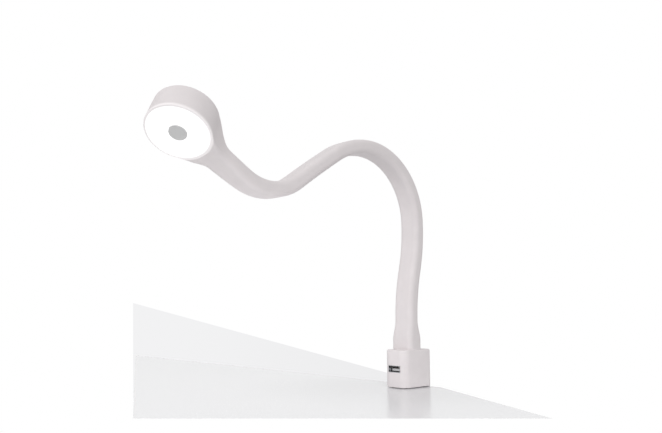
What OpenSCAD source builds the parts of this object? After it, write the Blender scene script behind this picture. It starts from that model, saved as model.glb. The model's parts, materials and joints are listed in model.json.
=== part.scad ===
// Clip-on reading lamp: a screw clamp and socket housing for a table edge, a flexible strap arm
// that stays where it is bent, and a round LED head with a push switch in its middle.
// Millimetres. +Z is up, X runs across the strap and -Y points at the reader.
// Z = 0 is the table top, under the middle of the housing.

/* [Base housing] */
// Width of the base, across the strap
base_w = 24; // [23:0.5:30]
// Depth of the base, from its socket face to its back
base_d = 38; // [34:0.5:42]
// Height of the base above the table
base_h = 32; // [31:0.5:40]
// Corner radius of the base seen from above
base_corner = 7; // [5:0.5:8]
// Radius of the top edge of the base
base_edge = 1.2; // [0.5:0.1:2]
// Wall of the housing
base_wall = 2; // [1.6:0.1:2.2]
// Thickness of the bottom plate
plate_t = 2.4; // [2:0.1:3]
// Thickness of the rubber pad under the base
seat_t = 1.6; // [1.2:0.1:2]
// How far that pad stands out below the housing
seat_proud = 0.8; // [0.5:0.1:1]
// Margin of the pad inside the bottom plate's outline
seat_margin = 2; // [1.5:0.1:4]
// Clearance around plates and inserts that drop into a pocket
drop_fit = 0.1; // [0.05:0.01:0.2]
// Thread diameter of the small housing and head screws
small_screw_d = 2; // [1.6:0.1:2.2]
// Clearance between a screw's thread and its hole
screw_fit = 0.05; // [0.02:0.01:0.08]

/* [Sockets and board] */
// Height of the base's top above the middle of the USB socket
usb_drop = 16; // [15:0.1:17]
// Width of the USB socket's steel shell
usb_w = 13.1; // [12.8:0.1:13.4]
// Height of that shell
usb_h = 5.7; // [5.5:0.1:5.9]
// Length of that shell
usb_l = 13.6; // [12:0.1:14.5]
// Sheet thickness of that shell
usb_sheet = 0.35; // [0.3:0.05:0.5]
// Gap on each side of the plastic tongue inside the USB socket
usb_tongue_side = 0.65; // [0.5:0.05:1]
// Thickness of the tongue
usb_tongue_t = 1.84; // [1.6:0.02:2]
// Length of the tongue
usb_tongue_l = 9; // [8:0.1:10]
// Height of the gap under the tongue
usb_tongue_gap = 0.7; // [0.6:0.05:1]
// Thickness of the circuit board
board_t = 1.2; // [1:0.1:1.6]
// Outer diameter of the power inlet's barrel
inlet_d = 8; // [7.4:0.1:8.4]
// Bore of the power inlet
inlet_bore = 5.6; // [5.4:0.1:6]
// Diameter of the inlet's centre pin
inlet_pin_d = 2; // [1.8:0.1:2.5]
// Depth of the inlet's body, in from the side of the base
inlet_l = 10; // [9:0.1:11]
// Gap between the inlet and the USB socket in front of it
socket_gap = 1.5; // [1:0.1:2]

/* [Clamp] */
// Width of the steel strip of the clamp bracket
bracket_w = 16; // [14:0.5:18]
// Thickness of the strip
bracket_t = 3; // [2.5:0.1:3.5]
// Height of the bracket's upright inside the back of the base
bracket_rise = 26; // [25:0.5:28]
// Thickest table top that the clamp takes
throat_max = 33; // [30:0.5:40]
// Outer radius of the bracket's bend
bracket_bend = 5; // [4:0.5:6]
// Table thickness that the clamp is set to
table_t = 25; // [20:0.5:28]
// Diameter of the clamp screw
clamp_screw_d = 8; // [7:0.5:9]
// Running clearance of the screw in its nut, and of the pad on the screw's tip
clamp_fit = 0.05; // [0.03:0.01:0.1]
// Length of the screw below its shoulder
clamp_screw_l = 46; // [45:0.5:52]
// Width across the flats of the nut
nut_flats = 13; // [12:0.5:15]
// Height of the nut below the bracket
nut_h = 6; // [5:0.5:7]
// Diameter of the pressure pad
pad_d = 22; // [18:0.5:24]
// Thickness of the pressure pad
pad_t = 5; // [4.5:0.1:6]
// Thickness of the rubber face on the pad
pad_rubber_t = 2; // [1:0.1:3]
// Diameter of the knob
knob_d = 26; // [22:0.5:32]
// Height of the knob
knob_h = 12; // [10:0.5:16]
// Number of finger flutes around the knob
knob_flutes = 8; // [5:1:12]

/* [Arm] */
// Width of the strap
arm_w = 20; // [18:0.5:22]
// Thickness of the strap
arm_t = 12; // [11:0.5:13]
// Radius of the strap's edges
arm_edge = 4.5; // [3:0.1:5]
// How far the strap stands in front of the middle of the base
arm_forward = 2; // [1:0.1:3]
// Height of the strap's foot above the base
foot_h = 26; // [24:0.5:32]
// Width of the foot where it meets the base
foot_w = 22; // [20:0.5:23]
// Thickness of the foot where it meets the base
foot_t = 16.4; // [14:0.1:18]
// Length of the strap's first stretch, from the foot up
arm_l1 = 44; // [40:1:50]
// Length of the second stretch
arm_l2 = 45; // [40:1:50]
// Length of the third stretch
arm_l3 = 44; // [40:1:50]
// Length of the fourth stretch
arm_l4 = 46; // [42:1:52]
// Length of the fifth stretch
arm_l5 = 43; // [38:1:50]
// Length of the sixth stretch
arm_l6 = 50; // [42:1:56]
// Length of the seventh stretch
arm_l7 = 50; // [45:1:56]
// Length of the last stretch, up to the head
arm_l8 = 24; // [24:1:34]
// Turn of the first stretch towards the reader, in degrees
arm_turn1 = -14; // [-18:1:-8]
// Turn of the second stretch, in degrees
arm_turn2 = 17; // [10:1:20]
// Turn of the third stretch, in degrees
arm_turn3 = 42; // [36:1:45]
// Turn of the fourth stretch, in degrees
arm_turn4 = 44; // [36:1:46]
// Turn of the fifth stretch, in degrees
arm_turn5 = 34; // [30:1:40]
// Turn of the sixth stretch, in degrees
arm_turn6 = 3; // [2:1:12]
// Turn of the seventh stretch, in degrees
arm_turn7 = -64; // [-68:1:-56]
// Turn of the last stretch, in degrees
arm_turn8 = -3; // [-10:1:-1]
// Most that one stretch folds over the next, either way, in degrees
fold_range = 28; // [20:1:30]
// Most that one stretch sways over the next, either way, in degrees
sway_range = 20; // [10:1:22]
// Gap between two stretches of the strap
arm_gap = 0.4; // [0.3:0.05:0.6]
// Diameter of the two bending rods inside the strap
rod_d = 4; // [3:0.1:4.4]
// Distance of each rod from the strap's middle
rod_x = 5; // [4.4:0.1:5.4]
// Diameter of the lead between the rods
lead_d = 3.2; // [2.5:0.1:3.6]
// Clearance around the rods and the lead inside the strap
core_fit = 0.1; // [0.05:0.01:0.15]

/* [Head] */
// Diameter of the head
head_d = 47; // [46:0.5:54]
// Thickness of the head
head_t = 22.5; // [19:0.5:25]
// Distance of the lit face from the strap's middle
head_face = 8; // [7.5:0.1:9]
// Length of the neck between the last stretch and the head's rim
neck_l = 12; // [8:0.1:14]
// Turn of the head about the neck, in degrees
head_twist = 19; // [0:1:25]
// Fillet between the neck and the rim of the head
neck_fillet = 44; // [30:0.5:50]
// Radius of the head's back edge
head_back_edge = 2.5; // [1.5:0.1:4]
// Radius of the head's front edge
head_front_edge = 0.8; // [0.4:0.1:1]
// Wall of the head
head_wall = 2.2; // [1.8:0.1:2.6]
// Width of the white rim around the lit face
head_rim = 1.4; // [1.2:0.1:1.6]
// Thickness of the diffuser
diffuser_t = 1.8; // [1.2:0.1:2]
// Depth of the LED board's front below the lit face
led_depth = 8; // [7.6:0.1:8.6]
// Thickness of the heat sink behind the board
sink_t = 2; // [1.5:0.1:3]
// Number of LEDs around the board
led_count = 16; // [8:1:20]
// Diameter of the switch button
button_d = 12.6; // [11:0.1:13]
// How far the button stands out of the lit face
button_proud = 0.4; // [0.2:0.1:1]
// Travel of the button
button_travel = 0.8; // [0.4:0.1:0.9]
// Diameter of the hollow pin that the head turns on
swivel_d = 6; // [5.6:0.1:6.2]
// Running clearance of the sliding and turning fits in the head
swivel_fit = 0.05; // [0.03:0.01:0.1]

/* [Hidden] */
$fn = 64;
TINY = 0.01;

// Levels and faces of the base
housing_z = seat_proud;
plate_pocket = seat_t - seat_proud;
plate_top = housing_z + plate_t;
ceiling_z = base_h - base_wall;
back_y = base_d / 2;
front_y = -base_d / 2;
cavity_front = front_y + base_wall;
cavity_back = back_y - bracket_t - drop_fit - base_wall;
cavity_w = base_w - 2 * base_wall;
cavity_l = cavity_back - cavity_front;
cavity_y = (cavity_front + cavity_back) / 2;
cavity_corner = 3;

// Housing posts for the bottom plate's screws, joined to the walls beside and behind them
post_d = 5;
post_gap = 0.4;
post_x = cavity_w / 2 - post_gap - post_d / 2;
post_y = cavity_back - post_gap - post_d / 2;
bottom_screw_l = 8;
bottom_screw_head = 1;

// Board between the front wall and those posts, with the sockets on it
board_gap = 0.4;
socket_lift = 0.15;
usb_z = base_h - usb_drop;
usb_floor = usb_z - usb_h / 2 + usb_sheet;
usb_back = front_y + usb_l;
board_top = usb_z - usb_h / 2 - socket_lift;
board_w = cavity_w - 2 * board_gap;
board_front = cavity_front + board_gap;
board_l = post_y - post_d / 2 - board_gap - board_front;
post_h = board_top - board_t - plate_top;
board_post_r = 2;
board_post_inset = 3;
inlet_y = usb_back + socket_gap + inlet_d / 2;
inlet_z = board_top + socket_lift + inlet_d / 2;
inlet_shoulder = 0.4;
inlet_floor = 1.5;
coil = [5, 4.5];
chip = [5, 4, 1.2];
capacitor = [3, 6, 3];
parts_inset = 1.5;

// Clamp, from the pad down to the knob
pad_top = -table_t;
pad_face = pad_top - pad_rubber_t;
pad_bottom = pad_face - pad_t;
pad_play = 0.2;
pad_floor = 2;
pad_recess = 2.2;
pad_rim = 1;
jaw_room = 3;
jaw_top = -throat_max - pad_rubber_t - pad_t - jaw_room;
jaw_bottom = jaw_top - bracket_t;
nut_bottom = jaw_bottom - nut_h;
nut_collar_r = clamp_screw_d / 2 + 1.5;
shoulder_z = pad_bottom - pad_play;
screw_end = shoulder_z - clamp_screw_l;
knob_floor = 3;
knob_bottom = screw_end - knob_floor;
knob_edge = 1.5;
flute_r = 3;
tip_d = clamp_screw_d - 3;
tip_l = 4;
clip_t = 0.8;
clip_grip = 0.02;
clip_wall = 1.6;

// Screws that hold the bracket in the housing's bosses
bracket_screw_d = 3;
bracket_screw_head = bracket_t - 1;
bracket_screw_pitch = 9;
bracket_screw_top = bracket_rise - 6;
bracket_screw_z = [bracket_screw_top - bracket_screw_pitch, bracket_screw_top];
bracket_boss_d = 6.4;
bracket_boss_l = 3;
bracket_screw_l = bracket_t + base_wall + bracket_boss_l;

// Anchor block that grips the rods under the ceiling
anchor_w = 2 * rod_x + rod_d + 3;
anchor_l = 16;
anchor_h = 8;
anchor_z = ceiling_z - anchor_h;
anchor_screw_y = 5.6;
anchor_screw_d = 2.5;
anchor_screw_l = 8;
anchor_screw_head = base_wall - 0.6;
lead_tail = 1.5;

// The strap's centre line: one arc for each stretch
ARM_L = [arm_l1, arm_l2, arm_l3, arm_l4, arm_l5, arm_l6, arm_l7, arm_l8];
ARM_TURN = [arm_turn1, arm_turn2, arm_turn3, arm_turn4, arm_turn5, arm_turn6, arm_turn7, arm_turn8];
LINKS = len(ARM_L);
arm_start = [0, -arm_forward, base_h + foot_h];
foot_straight = foot_h * 0.46;
foot_neck = foot_h * 0.92;
cap_inset = 0.2;
cap_slim = 0.35;
cap_root = 1;
rod_end = 0.3;
rod_skin = 1;

// Neck: a ferrule on the last stretch and a collar in the head
ferrule_l = 8;
ferrule_t = 8;
ferrule_corner = 2;
ferrule_grip = 2;
ferrule_cap = 1;
collar_start = arm_gap + 0.2;
collar_end = neck_l + 0.5;
collar_d = swivel_d + 3.2;
ring_d = swivel_d + 2.8;
ring_z = collar_end + 0.2;
spigot_end = neck_l + head_wall;
lead_bore = lead_d + 0.4;

// Layers of the head, measured in from its lit face
head_r = head_d / 2;
head_centre = neck_l + head_r;
cavity_r = head_r - head_wall;
diffuser_r = head_r - head_rim;
button_gap = 0.35;
flange_r = button_d / 2 + 1.2;
flange_top = diffuser_t + 0.2;
flange_t = 1;
guide_r = flange_r + 0.4;
guide_wall = 1.1;
board_r = cavity_r - 0.3;
sink_front = led_depth + board_t;
sink_back = sink_front + sink_t;
boss_count = 3;
boss_d = 5.6;
boss_ring = board_r - 3.4;
boss_root = 0.5;
head_screw_d = small_screw_d;
head_screw_head = 1.4;
head_screw_end = head_t - head_wall - 1.6;
led_size = [3.5, 2.8, 0.8];
led_ring = boss_ring - head_screw_d - led_size.x / 2 - 0.85;
plunger_d = 3.4;
plunger_grip = 1.2;
plunger_top = flange_top + flange_t;
switch_front = plunger_top + 1;
switch_w = 6.2;
switch_well = 1.6;

// Where stretch i starts, and which way it heads from upright
function heading(i) = i == 0 ? 0 : heading(i - 1) + ARM_TURN[i - 1];
function arc_r(i) = ARM_L[i] * 180 / (PI * abs(ARM_TURN[i]));
function chord(i) = 2 * arc_r(i) * sin(abs(ARM_TURN[i]) / 2);
function chord_dir(i) = heading(i) + ARM_TURN[i] / 2;
function joint_at(i) = i == 0 ? arm_start
  : joint_at(i - 1) + chord(i - 1) * [0, -sin(chord_dir(i - 1)), cos(chord_dir(i - 1))];

// Stretches sway at even joints and fold at odd ones
function sways(i) = i % 2 == 0;
function cap_r(i) = (sways(i) ? arm_w : arm_t) / 2 - cap_inset;
function rim(i) = arm_gap + (sways(i) ? arm_w * tan(sway_range) : arm_t * tan(fold_range)) / 2;
function core_start(i) = cap_r(i) + arm_gap + rod_skin;

// ---- Shared shapes ----

// Flat rectangle with round corners, centred
module round_rect(w, d, r) {
  square([w - 2 * r, d], center = true);
  square([w, d - 2 * r], center = true);
  for (x = [-1, 1], y = [-1, 1])
    translate([x * (w / 2 - r), y * (d / 2 - r)]) circle(r);
}

// Upright block with round corners and a round top edge
module round_top_block(w, d, h, r, e) {
  linear_extrude(h - e) round_rect(w, d, r);
  linear_extrude(h) round_rect(w - 2 * e, d - 2 * e, r - e);
  translate([0, 0, h - e]) {
    for (side = [0, 1]) rotate(180 * side) {
      translate([w / 2 - r, d / 2 - r]) round_corner(r, e);
      translate([r - w / 2, d / 2 - r]) rotate(90) round_corner(r, e);
      translate([0, d / 2 - e]) rotate([0, 90, 0]) cylinder(h = w - 2 * r, r = e, center = true);
      translate([w / 2 - e, 0]) rotate([90, 0, 0]) cylinder(h = d - 2 * r, r = e, center = true);
    }
  }
}

// Quarter turn of a round edge
module round_corner(r, e) {
  rotate_extrude(angle = 90) translate([r - e, 0]) circle(e);
}

// Ring standing on Z = 0
module ring(outer, inner, h) {
  difference() {
    cylinder(h = h, r = outer);
    translate([0, 0, -1]) cylinder(h = h + 2, r = inner);
  }
}

// Countersunk screw pointing down from Z = 0
module flat_screw(d, l, head_h) {
  translate([0, 0, -l]) cylinder(h = l, d = d);
  translate([0, 0, -head_h]) cylinder(h = head_h, d1 = d, d2 = 2 * d);
}

// Seat for that screw, open above Z = 0
module flat_screw_hole(d, l, head_h) {
  translate([0, 0, -l]) cylinder(h = l + 1, d = d + 2 * screw_fit);
  translate([0, 0, -head_h]) cylinder(h = head_h, d1 = d + 2 * screw_fit, d2 = 2 * d + 2 * screw_fit);
}

// Across the strap: the section that every stretch shares
module strap_section(inset = 0) {
  round_rect(arm_t - 2 * inset, arm_w - 2 * inset, arm_edge - inset);
}

module rod_section(grow) {
  for (y = [-rod_x, rod_x]) translate([0, y]) circle(d = rod_d + 2 * grow);
}

module lead_section(grow) {
  circle(d = lead_d + 2 * grow);
}

// Sweeps a section along stretch i, from one length along it to another
module along(i, from, to) {
  side = ARM_TURN[i] < 0 ? 1 : 0;
  angle = abs(ARM_TURN[i]);
  mirror([0, side, 0])
    translate([0, -arc_r(i), 0]) rotate([90, 0, 90]) rotate([0, 0, angle * from / ARM_L[i]])
      rotate_extrude(angle = angle * (to - from) / ARM_L[i]) translate([arc_r(i), 0]) children();
}

// Extrudes a section straight on past a joint
module onward(from, to) {
  translate([0, 0, from]) linear_extrude(to - from) rotate(90) children();
}

module at_joint(i) {
  translate(joint_at(i)) rotate([heading(i), 0, 0]) children();
}

// Drum around joint i, on the line that the stretch sways or folds about
module joint_drum(i, r) {
  rotate(sways(i) ? [90, 0, 0] : [0, 90, 0]) cylinder(h = 2 * arm_w, r = r, center = true);
}

// Round end of a stretch, reaching past joint i
module strap_cap(i) {
  intersection() {
    onward(-cap_root, arm_w) strap_section(cap_slim);
    joint_drum(i, cap_r(i));
  }
}

// ---- Base ----

module base_cavity() {
  translate([0, cavity_y, 0]) linear_extrude(ceiling_z) round_rect(cavity_w, cavity_l, cavity_corner);
}

module plate_outline(margin) {
  round_rect(cavity_w - 2 * margin, cavity_l - 2 * margin, cavity_corner - drop_fit);
}

module base_housing() color("whitesmoke") {
  difference() {
    translate([0, 0, housing_z])
      round_top_block(base_w, base_d, base_h - housing_z, base_corner, base_edge);
    base_cavity();
    translate([-bracket_w / 2 - drop_fit, back_y - bracket_t - drop_fit, 0])
      cube([bracket_w + 2 * drop_fit, bracket_t + 1, bracket_rise + drop_fit]);
    translate([0, front_y, usb_z])
      cube([usb_w + 2 * drop_fit, 2 * base_wall + 1, usb_h + 2 * drop_fit], center = true);
    translate([-base_w / 2, inlet_y, inlet_z]) rotate([0, 90, 0])
      cylinder(h = 2 * base_wall + 1, d = inlet_d + 2 * drop_fit, center = true);
    for (z = bracket_screw_z) translate([0, back_y, z]) rotate([90, 0, 0])
      cylinder(h = back_y, d = bracket_screw_d + 2 * screw_fit);
    translate([0, -arm_forward, ceiling_z - 1]) {
      for (x = [-rod_x, rod_x]) translate([x, 0]) cylinder(h = base_wall + 2, d = rod_d + 2 * core_fit);
      cylinder(h = base_wall + 2, d = lead_d + 2 * core_fit);
    }
    for (y = [-anchor_screw_y, anchor_screw_y]) translate([0, y - arm_forward, base_h])
      flat_screw_hole(anchor_screw_d, base_wall + 1, anchor_screw_head);
  }
  housing_posts();
  bracket_bosses();
}

module housing_posts() {
  reach = post_d / 2 + post_gap + TINY;
  for (side = [-1, 1]) translate([side * post_x, post_y, plate_top]) difference() {
    linear_extrude(post_h) {
      circle(d = post_d);
      translate([side * reach / 2, 0]) square([reach, post_d], center = true);
      translate([0, reach / 2]) square([post_d, reach], center = true);
    }
    translate([0, 0, -1]) cylinder(h = bottom_screw_l + 1, d = small_screw_d + 2 * screw_fit);
  }
}

module bracket_bosses() {
  for (z = bracket_screw_z) translate([0, cavity_back + TINY, z]) rotate([90, 0, 0])
    ring(bracket_boss_d / 2, bracket_screw_d / 2 + screw_fit, bracket_boss_l);
}

module bottom_plate() color("gainsboro") {
  difference() {
    translate([0, cavity_y, housing_z]) linear_extrude(plate_t) plate_outline(drop_fit);
    translate([0, cavity_y, housing_z - 1])
      linear_extrude(plate_pocket + 1) plate_outline(seat_margin - drop_fit);
    for (x = [-post_x, post_x]) translate([x, post_y, housing_z + plate_pocket]) rotate([180, 0, 0])
      flat_screw_hole(small_screw_d, plate_t, bottom_screw_head);
  }
  board_posts();
}

module board_posts() {
  post_x = board_w / 2 - board_post_r - board_gap;
  for (x = [-post_x, post_x], y = [board_post_inset, board_l - board_post_inset])
    translate([x, board_front + y, plate_top - TINY])
      cylinder(h = board_top - board_t - plate_top + TINY, r = board_post_r);
}

module seat_pad() color("whitesmoke") {
  translate([0, cavity_y, 0]) linear_extrude(seat_t) plate_outline(seat_margin);
}

module bottom_screws() color("silver") {
  for (x = [-post_x, post_x]) translate([x, post_y, housing_z + plate_pocket]) rotate([180, 0, 0])
    flat_screw(small_screw_d, bottom_screw_l, bottom_screw_head);
}

module power_board() color("darkgreen") {
  translate([0, board_front + board_l / 2, board_top - board_t])
    linear_extrude(board_t) round_rect(board_w, board_l, cavity_corner - board_gap);
}

module power_parts() color("dimgray") {
  under = board_top - board_t;
  middle = board_front + board_l / 2;
  translate([board_w / 2 - coil.x / 2 - board_gap, usb_back + socket_gap + coil.x / 2, board_top])
    cylinder(h = coil.y, d = coil.x);
  translate([-board_w / 2 + parts_inset, middle - chip.y / 2, under - chip.z]) cube(chip);
  translate([board_w / 2 - parts_inset - capacitor.x, middle - capacitor.y / 2, under - capacitor.z])
    cube(capacitor);
}

module usb_shell() color("silver") {
  inner = [usb_w - 2 * usb_sheet, usb_l, usb_h - 2 * usb_sheet];
  translate([0, front_y + usb_l / 2, usb_z]) difference() {
    cube([usb_w, usb_l, usb_h], center = true);
    translate([0, -usb_sheet, 0]) cube(inner, center = true);
  }
}

module usb_tongue() color("black") {
  back = usb_back - 2 * usb_sheet;
  tongue_w = usb_w - 2 * usb_sheet - 2 * usb_tongue_side;
  root = 2;
  translate([-tongue_w / 2, back - usb_tongue_l, usb_floor + usb_tongue_gap])
    cube([tongue_w, usb_tongue_l, usb_tongue_t]);
  translate([-tongue_w / 2, back - root, usb_floor]) cube([tongue_w, root, usb_h - 2 * usb_sheet]);
}

module power_inlet() color("black") {
  box_l = inlet_l - base_wall - drop_fit;
  box_w = inlet_d - 2 * inlet_shoulder;
  difference() {
    union() {
      translate([-base_w / 2, inlet_y, inlet_z]) rotate([0, 90, 0]) cylinder(h = inlet_l, d = inlet_d);
      translate([inlet_l - base_w / 2 - box_l, inlet_y - box_w / 2, board_top])
        cube([box_l, box_w, inlet_z - board_top + inlet_d / 2 - inlet_shoulder]);
    }
    translate([-base_w / 2 - 1, inlet_y, inlet_z]) rotate([0, 90, 0])
      cylinder(h = inlet_l - inlet_floor + 1, d = inlet_bore);
    translate([0, inlet_y, inlet_z]) rotate([0, -90, 0]) cylinder(h = base_w / 2, d = inlet_pin_d);
  }
}

module inlet_pin() color("silver") {
  translate([-base_w / 2 + 1, inlet_y, inlet_z]) rotate([0, 90, 0])
    cylinder(h = inlet_l - 1, d = inlet_pin_d);
}

module arm_anchor() color("silver") {
  translate([0, -arm_forward, anchor_z]) difference() {
    translate([-anchor_w / 2, -anchor_l / 2, 0]) cube([anchor_w, anchor_l, anchor_h]);
    translate([0, 0, -1]) {
      for (x = [-rod_x, rod_x]) translate([x, 0]) cylinder(h = anchor_h + 2, d = rod_d + 2 * core_fit);
      cylinder(h = anchor_h + 2, d = lead_d + 2 * core_fit);
      for (y = [-anchor_screw_y, anchor_screw_y])
        translate([0, y, anchor_h + base_wall - anchor_screw_l])
          cylinder(h = anchor_screw_l, d = anchor_screw_d + 2 * screw_fit);
    }
  }
}

module anchor_screws() color("silver") {
  for (y = [-anchor_screw_y, anchor_screw_y]) translate([0, y - arm_forward, base_h])
    flat_screw(anchor_screw_d, anchor_screw_l, anchor_screw_head);
}

// ---- Clamp ----

// Side view of the bracket: an upright, a quarter bend and the jaw
module bracket_profile() {
  bend_z = jaw_bottom + bracket_bend;
  translate([back_y - bracket_t, bend_z]) square([bracket_t, bracket_rise - bend_z]);
  translate([0, jaw_bottom]) square([back_y - bracket_bend, bracket_t]);
  translate([back_y - bracket_bend, bend_z]) intersection() {
    difference() {
      circle(bracket_bend);
      circle(bracket_bend - bracket_t);
    }
    translate([0, -bracket_bend]) square(bracket_bend);
  }
}

module clamp_bracket() color("gainsboro") {
  difference() {
    union() {
      rotate([90, 0, 90]) linear_extrude(bracket_w, center = true) bracket_profile();
      translate([0, 0, jaw_bottom]) cylinder(h = bracket_t, d = bracket_w);
    }
    translate([0, 0, jaw_bottom - 1]) cylinder(h = bracket_t + 2, r = nut_collar_r + drop_fit);
    for (z = bracket_screw_z) translate([0, back_y, z]) rotate([-90, 0, 0])
      flat_screw_hole(bracket_screw_d, bracket_t + 1, bracket_screw_head);
  }
}

module bracket_screws() color("silver") {
  for (z = bracket_screw_z) translate([0, back_y, z]) rotate([-90, 0, 0])
    flat_screw(bracket_screw_d, bracket_screw_l, bracket_screw_head);
}

module clamp_nut() color("silver") {
  difference() {
    union() {
      translate([0, 0, nut_bottom]) cylinder(h = nut_h, d = nut_flats / cos(30), $fn = 6);
      translate([0, 0, jaw_bottom]) cylinder(h = bracket_t, r = nut_collar_r);
    }
    translate([0, 0, nut_bottom - 1])
      cylinder(h = nut_h + bracket_t + 2, d = clamp_screw_d + 2 * clamp_fit);
  }
}

module clamp_screw() color("silver") {
  translate([0, 0, screw_end]) cylinder(h = shoulder_z - screw_end, d = clamp_screw_d);
  translate([0, 0, shoulder_z - TINY]) cylinder(h = tip_l + TINY, d = tip_d);
}

module knob_profile() {
  square([knob_d / 2 - knob_edge, knob_h]);
  translate([0, knob_edge]) square([knob_d / 2, knob_h - 2 * knob_edge]);
  for (z = [knob_edge, knob_h - knob_edge]) translate([knob_d / 2 - knob_edge, z]) circle(knob_edge);
}

module clamp_knob() color("whitesmoke") {
  difference() {
    translate([0, 0, knob_bottom]) rotate_extrude() knob_profile();
    translate([0, 0, screw_end]) cylinder(h = knob_h, d = clamp_screw_d + 2 * clamp_fit);
    for (k = [0 : knob_flutes - 1]) rotate(k * 360 / knob_flutes)
      translate([knob_d / 2 + flute_r / 2, 0, knob_bottom - 1]) cylinder(h = knob_h + 2, r = flute_r);
  }
}

module pad_clip() color("silver") {
  translate([0, 0, pad_bottom + pad_floor + pad_play])
    ring(tip_d / 2 + clip_wall, tip_d / 2 + clip_grip, clip_t);
}

module clamp_pad() color("gainsboro") {
  difference() {
    translate([0, 0, pad_bottom]) cylinder(h = pad_t, d = pad_d);
    translate([0, 0, pad_bottom - 1]) cylinder(h = pad_t + 2, d = tip_d + 2 * clamp_fit);
    translate([0, 0, pad_bottom + pad_floor]) cylinder(h = pad_t, d = tip_d + 2 * pad_recess);
  }
}

module pad_rubber() color("dimgray") {
  translate([0, 0, pad_face]) cylinder(h = pad_rubber_t, d = pad_d - 2 * pad_rim);
}

// ---- Arm ----

// Foot: straight up from the base, narrowing to the strap's own section
module arm_foot() color("whitesmoke") {
  slice = 0.1;
  difference() {
    union() {
      translate([0, -arm_forward, base_h]) {
        linear_extrude(foot_straight) round_rect(foot_w, foot_t, arm_edge);
        hull() {
          translate([0, 0, foot_straight - slice])
            linear_extrude(slice) round_rect(foot_w, foot_t, arm_edge, $fn = 32);
          translate([0, 0, foot_neck - slice])
            linear_extrude(slice) round_rect(arm_w, arm_t, arm_edge, $fn = 32);
        }
        linear_extrude(foot_h) round_rect(arm_w, arm_t, arm_edge);
      }
      at_joint(0) strap_cap(0);
    }
    translate([0, -arm_forward, base_h - 1]) linear_extrude(foot_h + 1) {
      rotate(90) rod_section(core_fit);
      lead_section(core_fit);
    }
  }
}

module foot_rods() color("silver") {
  translate([0, -arm_forward, anchor_z]) linear_extrude(arm_start.z - rod_end - anchor_z)
    rotate(90) rod_section(0);
}

module foot_lead() color("dimgray") {
  start = anchor_z - lead_tail;
  translate([0, -arm_forward, start]) linear_extrude(arm_start.z - rod_end - start) lead_section(0);
}

// One stretch of the strap: hollow at its start, round at its end
module arm_sleeve(i) color("whitesmoke") {
  last = i == LINKS - 1;
  difference() {
    union() {
      at_joint(i) along(i, rim(i), ARM_L[i]) strap_section();
      if (!last) at_joint(i + 1) strap_cap(i + 1);
    }
    at_joint(i) joint_drum(i, cap_r(i) + arm_gap);
    at_joint(i) along(i, 0, ARM_L[i]) {
      rod_section(core_fit);
      lead_section(core_fit);
    }
    if (last) at_joint(LINKS) onward(-ferrule_l - drop_fit, 1)
      round_rect(ferrule_t + 2 * drop_fit, anchor_w + 2 * drop_fit, ferrule_corner);
  }
}

module arm_rods(i) color("silver") {
  last = i == LINKS - 1;
  at_joint(i) along(i, core_start(i), ARM_L[i] - (last ? ferrule_grip : rod_end)) rod_section(0);
}

module arm_lead(i) color("dimgray") {
  at_joint(i) along(i, core_start(i), ARM_L[i] - rod_end) lead_section(0);
}

module neck_ferrule() color("silver") {
  at_joint(LINKS) difference() {
    union() {
      onward(-ferrule_l, 0) round_rect(ferrule_t, anchor_w, ferrule_corner);
      cylinder(h = spigot_end, d = swivel_d);
    }
    onward(-ferrule_l - 1, spigot_end + 1) circle(d = lead_bore);
    onward(-ferrule_l - 1, -ferrule_cap) rod_section(core_fit);
  }
}

module swivel_ring() color("silver") {
  at_joint(LINKS) translate([0, 0, ring_z]) ring(ring_d / 2, swivel_d / 2 + clip_grip, clip_t);
}

// ---- Head ----

// Frame of the neck: Z runs on along the neck and -Y is the lit side
module at_neck() {
  at_joint(LINKS) rotate([0, 0, head_twist]) children();
}

// Frame of the head: Z = 0 is the lit face and Z runs into the head
module at_head() {
  at_neck() translate([0, -head_face, head_centre]) rotate([-90, 0, 0]) children();
}

module swivel_collar() color("silver") {
  at_neck() translate([0, 0, collar_start])
    ring(collar_d / 2, swivel_d / 2 + swivel_fit, collar_end - collar_start);
}

module head_profile() {
  translate([0, head_front_edge]) square([head_r, head_t - head_front_edge - head_back_edge]);
  square([head_r - head_front_edge, head_front_edge]);
  translate([head_r - head_front_edge, head_front_edge]) circle(head_front_edge);
  translate([0, head_t - head_back_edge]) square([head_r - head_back_edge, head_back_edge]);
  translate([head_r - head_back_edge, head_t - head_back_edge]) circle(head_back_edge);
}

// Flat outline of the neck's flare, in the plane of the head
module neck_flare() {
  fillet_x = arm_w / 2 + neck_fillet;
  fillet_y = head_centre - sqrt(pow(head_r + neck_fillet, 2) - pow(fillet_x, 2));
  touch = head_r / (head_r + neck_fillet);
  touch_x = fillet_x * touch;
  touch_y = head_centre + (fillet_y - head_centre) * touch;
  difference() {
    polygon([[-arm_w / 2, arm_gap], [arm_w / 2, arm_gap], [touch_x, touch_y], [0, head_centre],
             [-touch_x, touch_y]]);
    for (x = [-fillet_x, fillet_x]) translate([x, fillet_y]) circle(neck_fillet, $fn = 128);
  }
  for (x = [-1, 1]) difference() {
    polygon([[0, arm_gap], [x * arm_w / 2, arm_gap], [x * fillet_x, fillet_y], [0, head_centre]]);
    translate([x * fillet_x, fillet_y]) circle(neck_fillet, $fn = 128);
  }
}

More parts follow.
